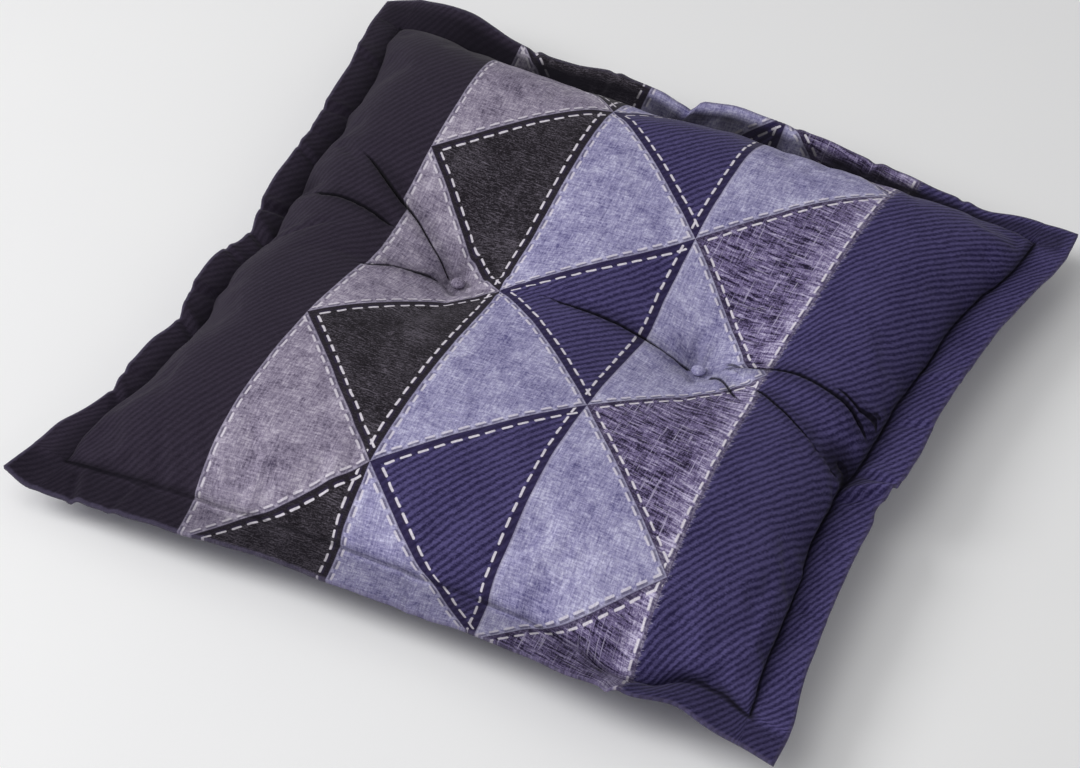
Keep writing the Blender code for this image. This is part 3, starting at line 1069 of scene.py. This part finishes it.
def seam_shade(b, place, u, v):
    """The seam: a thin line of painted shade in its groove, with a soft painted shade beside it that differs
    from side to side.

    Returns how dark the painted shade is, and how far out on the cloth each point lies.
    """
    out_u = b.size(u)
    outward = b.most(out_u, b.size(v))
    from_seam = b.size(b.minus(outward, SEAM))
    back_middle = b.line(b.step(out_u, 225.0, 150.0), 0.45, 0.5)
    sides = {
        "all round": 1.0,
        "back": b.times(b.step(v, SIDE_START, SIDE_FULL), back_middle),
        "left": b.step(u, -SIDE_START, -SIDE_FULL),
        "front right": b.times(b.step(u, 85.0, 140.0), b.step(v, -SIDE_START, -SIDE_FULL)),
    }
    soft = 0.0
    for side, (ends, full, strength) in SEAM_SHADE.items():
        shade = b.times(b.step(from_seam, ends, full), strength)
        soft = b.most(soft, b.times(shade, sides[side]))
    # Painted shade on the crown's wall over the right-hand seam
    wall = b.times(b.step(outward, SEAM - 26.0, SEAM), b.step(outward, SEAM + 9.0, SEAM))
    wall = b.times(wall, b.math("GREATER_THAN", u, 190.0))
    soft = b.most(soft, b.times(wall, RIGHT_WALL_SHADE))
    # The thin line of painted shade in the seam's groove
    line = b.times(b.step(from_seam, 3.4, 0.8), SEAM_LINE_SHADE)
    # The painted shade is uneven, and fainter along the front
    at_front = b.times(b.step(v, -215.0, -235.0), b.step(out_u, 190.0, 150.0))
    patchy = b.line(b.noise(place, 0.03, 2.0), 0.6, 0.65)
    share = b.times(b.line(at_front, -0.45, 1.0), patchy)
    return b.times(b.most(line, soft), share), outward


def folds_group():
    """Painted shade in the seam, the creases, the pockets, the tufts' hollows and over the front flange, and
    how worn the cloth is at the edge of the flange.
    """
    tree, b, given, out = make_group(
        "seam and crease shading",
        {"Place": "Vector", "Aside": "Vector", "Depth": "Vector", "Face": 1.0},
        {"Painted Shade": "Float", "Worn": "Float"},
    )
    place = given["Place"]
    u, v, _ = b.parts(place)
    dark, outward = seam_shade(b, place, u, v)

    # Painted shade in the creases, each with a wider and fainter painted shade round it
    for off, half in zip(b.parts(given["Aside"]), b.parts(given["Depth"])):
        near = b.over(b.size(off), b.plus(half, 0.25))
        fold = b.times(b.step(near, 1.25, 0.7), b.step(half, 0.15, 2.4))
        halo = b.times(b.step(near, 2.8, 1.0), b.step(half, 0.8, 4.0))
        dark = b.most(dark, b.times(fold, CREASE_SHADE))
        dark = b.most(dark, b.times(halo, CREASE_HALO))

    # Painted shade in the pockets at the seam and the hollows round the tufts, on the face alone
    for place_u, place_v, reach_u, reach_v, deep, _ in POCKETS:
        off_u = b.over(b.minus(u, place_u), reach_u)
        off_v = b.over(b.minus(v, place_v), reach_v)
        away = b.plus(b.math("POWER", off_u, 2.0), b.math("POWER", off_v, 2.0))
        pocket = b.times(b.step(away, 1.5, 0.0), POCKET_SHADE * deep)
        dark = b.most(dark, b.times(pocket, given["Face"]))
    for centre in HOLLOWS:
        off = b.vector("SUBTRACT", place, (*centre, 0))
        away = b.math("SQRT", b.vector("DOT_PRODUCT", off, off))
        hollow = b.times(b.step(away, HOLLOW_REACH, 3.0), HOLLOW_SHADE)
        dark = b.most(dark, b.times(hollow, given["Face"]))

    # Painted shade over the front flange
    front_flange = b.step(v, -SEAM, -SEAM - 7.0)
    b.put(out["Painted Shade"], b.most(dark, b.times(front_flange, FRONT_FLANGE_SHADE)))
    ragged = b.line(b.noise(place, 0.4, 2.0), 2.4, outward)
    worn = b.step(ragged, TIP_CLOTH / MM - 1.6, TIP_CLOTH / MM + 1.0)
    b.put(out["Worn"], b.times(worn, EDGE_WEAR))
    return tree


# The print. All sizes in mm on the flat cloth. It lies a little askew on the cloth
PRINT_TURN = 0.020
BAND_START = -130.6
COLUMN = 90.0
REPEAT = 175.5
REPEAT_START = -0.7
STITCH_INSET = 4.9
STITCH_SHIFT = 3.1  # how far the stitches of a pale piece lie along from those of the dark one beside it


def patchwork_group():
    """Where a point lies in the triangles: which column, pale or dark, and how far it is from each seam."""
    tree, b, given, out = make_group(
        "patchwork seams",
        {"Place": "Vector"},
        {
            "Column": "Float",
            "Pale": "Float",
            "From Base": "Float",
            "From Slant": "Float",
            "Along Base": "Float",
            "Along Slant": "Float",
        },
    )
    across = b.vector("DOT_PRODUCT", given["Place"], (1, PRINT_TURN, 0))
    up = b.vector("DOT_PRODUCT", given["Place"], (-PRINT_TURN, 1, 0))
    counted = b.over(b.minus(across, BAND_START), COLUMN)
    column = b.math("FLOOR", counted)
    share = b.math("FRACT", counted)
    odd = b.math("FLOORED_MODULO", column, 2.0)
    start = b.line(odd, -0.5, 0.5)
    repeats = b.over(b.minus(up, REPEAT_START), REPEAT)
    within = b.math("FRACT", b.minus(repeats, start))
    off_middle = b.size(b.minus(within, 0.5))
    inside = b.minus(b.line(share, -0.5, 0.5), off_middle)
    slant_length = (COLUMN**2 + (REPEAT / 2) ** 2) ** 0.5
    pale = b.math("GREATER_THAN", inside, 0.0)
    base_pale = b.times(share, COLUMN)
    base_dark = b.minus(COLUMN, base_pale)
    run_x = b.times(share, COLUMN * COLUMN / slant_length)
    run_y = b.times(b.minus(0.5, off_middle), REPEAT * REPEAT / 2 / slant_length)
    b.put(out["Column"], column)
    b.put(out["Pale"], pale)
    b.put(out["From Base"], b.plus(b.times(pale, b.minus(base_pale, base_dark)), base_dark))
    b.put(out["From Slant"], b.times(inside, REPEAT * COLUMN / slant_length))
    b.put(out["Along Base"], up)
    b.put(out["Along Slant"], b.plus(run_x, run_y))
    return tree


def cloth_place(bench):
    """The point's place on the flat cloth, in mm."""
    source = bench.node("ShaderNodeUVMap", uv_map="cloth")
    return bench.vector("SCALE", source.outputs[0], scale=1000.0)


def object_place(bench):
    """The point's place on the object, in mm."""
    source = bench.node("ShaderNodeTexCoord")
    return bench.vector("SCALE", source.outputs["Object"], scale=1000.0)


def start_material(name, roughness=CLOTH_ROUGHNESS, sheen=CLOTH_SHEEN):
    material = bpy.data.materials.new(name)
    material.use_nodes = True
    shader = material.node_tree.nodes["Principled BSDF"]
    shader.inputs["Roughness"].default_value = roughness
    shader.inputs["Sheen Weight"].default_value = sheen
    shader.inputs["Sheen Roughness"].default_value = 0.45
    shader.inputs["Specular IOR Level"].default_value = 0.12
    return material, Bench(material.node_tree), shader


def finish_cloth(b, shader, weave, place, colour):
    """Gives the cloth its colour, a slightly uneven roughness, and its weave in low relief."""
    b.put(shader.inputs["Base Color"], colour)
    b.put(shader.inputs["Roughness"], b.line(b.noise(place, 0.08, 2.0), 0.12, 0.82))
    bump = b.node("ShaderNodeBump")
    bump.inputs["Strength"].default_value = WEAVE_STRENGTH
    bump.inputs["Distance"].default_value = WEAVE_HEIGHT
    b.put(bump.inputs["Height"], weave["Height"])
    b.put(shader.inputs["Normal"], bump.outputs[0])


def shade_folds(b, groups, colour, face=1.0):
    """The cloth's colour with painted shade in the seam, the creases, the pockets, the hollows and over the
    front flange, and worn at the edge of the flange.
    """
    place = cloth_place(b)
    aside = b.node("ShaderNodeAttribute", attribute_name="crease aside").outputs["Vector"]
    depth = b.node("ShaderNodeAttribute", attribute_name="crease depth").outputs["Vector"]
    folds = use_group(b, groups["folds"], Place=place, Aside=aside, Depth=depth, Face=face)
    # Mixes in the painted shade
    colour = b.mix(folds["Painted Shade"], colour, FOLD_PAINTED_SHADE)
    return b.mix(folds["Worn"], colour, WORN_EDGE)


def printed_cloths(b, groups, place, seams, inset):
    """The colour of each cloth that the print shows."""
    wear = b.step(seams["From Base"], 22.0, 2.0)
    cloths = {
        "grey": use_group(b, groups["chambray"], Place=place, Inset=inset, **GREY),
        "blue": use_group(b, groups["chambray"], Place=place, Inset=inset, **BLUE),
        "navy": use_group(b, groups["twill"], Place=place, **NAVY),
        "charcoal": use_group(b, groups["twill"], Place=place, Pitch=4.3, Depth=0.7, **CHARCOAL),
        "black": use_group(b, groups["raw"], Place=place, **BLACK),
        "slub": use_group(b, groups["slub"], Place=place, Wear=wear, **SLUB),
    }
    return {name: cloth["Color"] for name, cloth in cloths.items()}


def printed_patches(b, cloths, place, seams, inset, first, third):
    """The triangles. First column: grey and black. Second: blue and navy. Third: blue and slub."""
    pale_colour = b.mix(first, cloths["blue"], cloths["grey"])
    dark_colour = b.mix(first, cloths["navy"], cloths["black"])
    dark_colour = b.mix(third, dark_colour, cloths["slub"])

    # Turned-under margins: plain and darker on the dark pieces, a thin pale ridge on the pale ones
    fray = b.noise(place, 0.9, 2.0, 0.7)
    ragged = b.plus(inset, b.times(b.minus(fray, 0.5), 1.4))
    plain_margin = b.mix(first, NAVY_MARGIN, BLACK_MARGIN)
    plain_share = b.times(b.times(b.step(ragged, 5.0, 4.0), 0.75), b.minus(1.0, third))
    dark_colour = b.mix(plain_share, dark_colour, plain_margin)
    slub_edge = b.times(b.step(ragged, 2.6, 1.4), third)
    dark_colour = b.mix(b.times(slub_edge, 0.55), dark_colour, SLUB_MARGIN)
    ridge = b.times(b.step(ragged, 2.3, 1.2), 0.28)
    pale_colour = b.mix(ridge, pale_colour, PALE_RIDGE)
    colour = b.mix(seams["Pale"], dark_colour, pale_colour)
    return b.mix(b.times(b.step(inset, 0.9, 0.2), 0.4), colour, JOIN)


def printed_stitches(b, groups, place, seams, inset, third, colour):
    """Stitches on both sides of every seam, except on the pale side of the third column's base."""
    pale = seams["Pale"]
    wander = b.noise(place, 0.11, 1.0)
    shift = b.times(pale, STITCH_SHIFT)
    closer = b.line(pale, 2.0, b.times(b.times(third, 1.4), b.minus(1.0, pale)))
    row_inset = b.minus(STITCH_INSET, closer)
    bare = b.minus(1.0, b.times(pale, third))
    thread = 0.0
    shadow = 0.0
    for line, shown in (("Base", bare), ("Slant", 1.0)):
        stitch = use_group(
            b,
            groups["stitch"],
            Along=b.plus(seams["Along " + line], shift),
            Aside=b.minus(b.size(seams["From " + line]), row_inset),
            Wander=wander,
        )
        thread = b.most(thread, b.times(stitch["Thread"], shown))
        shadow = b.most(shadow, b.times(stitch["Shadow"], shown))
    clear = b.step(inset, 0.3, 0.9)
    colour = b.mix(b.times(b.times(shadow, clear), 0.6), colour, STITCH_SHADOW)
    uneven_thread = b.line(b.noise(place, 0.5, 2.0), 0.6, 0.6)
    strength = b.times(b.times(thread, clear), b.line(pale, -0.22, 1.0))
    return b.mix(b.math("MULTIPLY", strength, uneven_thread, clamp=True), colour, STITCH_THREAD)


def printed_bands(b, cloths, place, place_print, column, colour):
    """The plain bands on both sides of the triangles, with frayed threads where the right one begins."""
    left = b.math("LESS_THAN", column, -0.5)
    right = b.math("GREATER_THAN", column, 2.5)
    colour = b.mix(left, colour, cloths["charcoal"])
    colour = b.mix(right, colour, cloths["navy"])
    across = b.vector("DOT_PRODUCT", place_print, (1, PRINT_TURN, 0))
    beyond = b.minus(across, BAND_START + 3 * COLUMN)
    strands = b.streaks(place, 8, 6.0, 1.1, 3.0, 0.7, 0.5)
    reach = b.times(b.step(strands, 0.42, 0.72), 3.4)
    frayed = b.times(b.step(b.minus(reach, beyond), 0.0, 1.6), right)
    return b.mix(b.times(frayed, 0.32), colour, SLUB["Bleached"])


def print_material(groups):
    """The printed face: a ribbed band, three columns of patchwork triangles, and a ribbed band."""
    material, b, shader = start_material("patchwork print cotton")
    place = cloth_place(b)
    waver = b.vector("SUBTRACT", b.noise(place, 0.02, 2.0, colour=True), (0.5, 0.5, 0.5))
    place_print = b.vector("ADD", place, b.vector("SCALE", waver, scale=2.4))
    seams = use_group(b, groups["seams"], Place=place_print)
    column = seams["Column"]
    inset = b.math("MINIMUM", seams["From Base"], b.size(seams["From Slant"]))
    first = b.math("LESS_THAN", column, 0.5)
    third = b.math("GREATER_THAN", column, 1.5)
    cloths = printed_cloths(b, groups, place, seams, inset)
    colour = printed_patches(b, cloths, place, seams, inset, first, third)
    colour = printed_stitches(b, groups, place, seams, inset, third, colour)
    colour = printed_bands(b, cloths, place, place_print, column, colour)
    colour = shade_folds(b, groups, colour)

    # The weave's own light and dark, at half strength
    weave = use_group(b, groups["weave"], Place=place)
    tone = b.node("ShaderNodeCombineColor")
    for socket in tone.inputs[:3]:
        b.put(socket, weave["Tone"])
    colour = b.mix(0.5, colour, b.mix(1.0, colour, tone.outputs[0], "MULTIPLY"))
    finish_cloth(b, shader, weave, place, colour)
    return material


def plain_material(name, groups, kind, colours, from_uv=False):
    """One cloth all over: the backing, which follows the cover, or the cloth of a button."""
    material, b, shader = start_material(name)
    place = cloth_place(b) if from_uv else object_place(b)
    colour = use_group(b, groups[kind], Place=place, **colours)["Color"]
    # The backing gets the painted shade along the seam and over the front flange, and the worn edge
    if from_uv:
        colour = shade_folds(b, groups, colour, face=0.0)
    finish_cloth(b, shader, use_group(b, groups["weave"], Place=place), place, colour)
    return material


def floor_material():
    material, b, shader = start_material("pale studio floor", roughness=0.9, sheen=0.0)
    cloud = b.noise(object_place(b), 0.004, 2.0)
    b.put(shader.inputs["Base Color"], b.mix(cloud, (0.92, 0.92, 0.93, 1), (0.96, 0.96, 0.96, 1)))
    return material


# The pieces
BUTTON_RADIUS = 4.6 * MM
BUTTON_HEIGHT = 4.2 * MM
BUTTON_GAP = 0.4 * MM
BUTTON_FLAT = 0.12  # share of the height that is pressed flat at the back
BUTTON_WAIST = 0.12
BUTTON_PLEATS = 9
BUTTON_PLEAT_DEPTH = 0.05
FLOOR_HALF = 6.0


def build_cushion(print_cloth, under_cloth):
    """The filled cover. Its face settles over the filling, apart from the cloth in the creases."""
    lines_u = cloth_lines(CELLS, CLOSER_U)
    lines_v = cloth_lines(CELLS, CLOSER_V)
    moved = None
    u, v = np.meshgrid(lines_u, lines_v, indexing="ij")
    moved = settle_face(lines_u, lines_v) * (1 - crease_hold(u, v))[..., None]
    mesh = cover_mesh("filled_cover", lines_u, lines_v, moved)
    return add_piece("filled_cover", mesh, print_cloth, under_cloth)


def build_button(name, centre, seat, up, cloth):
    """A covered button: flat back, domed face, and small pleats where its cloth is gathered behind."""
    bm = bmesh.new()
    bmesh.ops.create_uvsphere(bm, u_segments=54, v_segments=28, radius=1.0)
    for vert in bm.verts:
        height = (vert.co.z + 1) / 2
        turn = np.arctan2(vert.co.y, vert.co.x)
        gathered = (1 - height) ** 2
        waist = 1 - gathered * (BUTTON_WAIST - BUTTON_PLEAT_DEPTH * sin(BUTTON_PLEATS * turn))
        flat_back = max(height - BUTTON_FLAT, 0) / (1 - BUTTON_FLAT)
        vert.co.x = centre[0] + vert.co.x * BUTTON_RADIUS * waist
        vert.co.y = centre[1] + up * vert.co.y * BUTTON_RADIUS * waist
        vert.co.z = seat + up * (BUTTON_GAP + BUTTON_HEIGHT * flat_back)
    return add_piece(name, finish_mesh(bm, name), cloth)


def build_floor(material):
    bm = bmesh.new()
    bmesh.ops.create_grid(bm, x_segments=1, y_segments=1, size=FLOOR_HALF)
    mesh = bpy.data.meshes.new("studio_floor")
    bm.to_mesh(mesh)
    bm.free()
    return add_piece("studio_floor", mesh, material)


# Camera and light. The view was solved from the four corners of the flange in the photograph
CAMERA_PLACE = (0.6818, -1.6091, 1.7028)
CAMERA_AZIMUTH = 23.36
CAMERA_ELEVATION = 44.31
CAMERA_ROLL = 3.21
CAMERA_LENS = 130
LIGHT_TARGET = (0, 0, 0.04)
# Name, place, width in metres and power of each soft light
LIGHTS = [
    ("key", (-1.7, -0.9, 1.6), 1.1, 27),
    ("fill", (1.8, -1.4, 1.5), 1.6, 3),
    ("top", (-0.5, -0.9, 2.2), 1.6, 14),
]
SKY_STRENGTH = 0.36


def place_camera():
    """The photograph's view."""
    azimuth = radians(CAMERA_AZIMUTH)
    elevation = radians(CAMERA_ELEVATION)
    roll = radians(CAMERA_ROLL)
    back = Vector((sin(azimuth) * cos(elevation), -cos(azimuth) * cos(elevation), sin(elevation)))
    level = Vector((cos(azimuth), sin(azimuth), 0))
    upright = back.cross(level)
    right = cos(roll) * level + sin(roll) * upright
    up = cos(roll) * upright - sin(roll) * level
    turn = Matrix((right, up, back)).transposed()
    data = bpy.data.cameras.new("camera")
    data.sensor_width = 36
    data.lens = CAMERA_LENS
    data.clip_end = 50
    camera = bpy.data.objects.new("camera", data)
    camera.matrix_world = Matrix.Translation(CAMERA_PLACE) @ turn.to_4x4()
    bpy.context.scene.collection.objects.link(camera)
    bpy.context.scene.camera = camera


def soft_light(name, place, width, power):
    data = bpy.data.lights.new(name, "AREA")
    data.shape = "RECTANGLE"
    data.size = width
    data.size_y = width
    data.energy = power
    light = bpy.data.objects.new(name, data)
    light.location = place
    aim = Vector(LIGHT_TARGET) - Vector(place)
    light.rotation_euler = aim.to_track_quat("-Z", "Y").to_euler()
    bpy.context.scene.collection.objects.link(light)


def place_lights():
    for row in LIGHTS:
        soft_light(*row)
    world = bpy.data.worlds.new("studio air")
    world.use_nodes = True
    sky = world.node_tree.nodes["Background"]
    sky.inputs["Color"].default_value = (1.0, 1.0, 1.0, 1)
    sky.inputs["Strength"].default_value = SKY_STRENGTH
    bpy.context.scene.world = world
    bpy.context.scene.view_settings.view_transform = "Standard"


def main():
    groups = {
        "weave": cotton_weave_group(),
        "twill": twill_group(),
        "chambray": chambray_group(),
        "raw": raw_denim_group(),
        "slub": slub_denim_group(),
        "stitch": running_stitch_group(),
        "folds": folds_group(),
        "seams": patchwork_group(),
    }
    under_cloth = plain_material("navy twill backing", groups, "twill", NAVY, from_uv=True)
    cushion = build_cushion(print_material(groups), under_cloth)
    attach(cushion, "root")
    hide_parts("cushion")

    grey_cloth = plain_material("grey chambray button cloth", groups, "chambray", GREY)
    blue_cloth = plain_material("blue chambray button cloth", groups, "chambray", BLUE)
    backing = plain_material("navy twill button cloth", groups, "twill", NAVY)
    slots = {"left": ("button_cloth_left", grey_cloth), "right": ("button_cloth_right", blue_cloth)}
    for side, centre in TUFTS.items():
        slot, cloth = slots[side]
        face = build_button(f"covered_button_{side}", centre, TUFT_SEAT_TOP, 1, cloth)
        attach(face, "root")
        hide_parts(f"button_{side}")
        back = build_button(f"covered_button_under_{side}", centre, TUFT_SEAT_UNDER, -1, backing)
        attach(back, "root")
        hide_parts(f"button_under_{side}")

    build_floor(floor_material())
    place_camera()
    place_lights()


main()
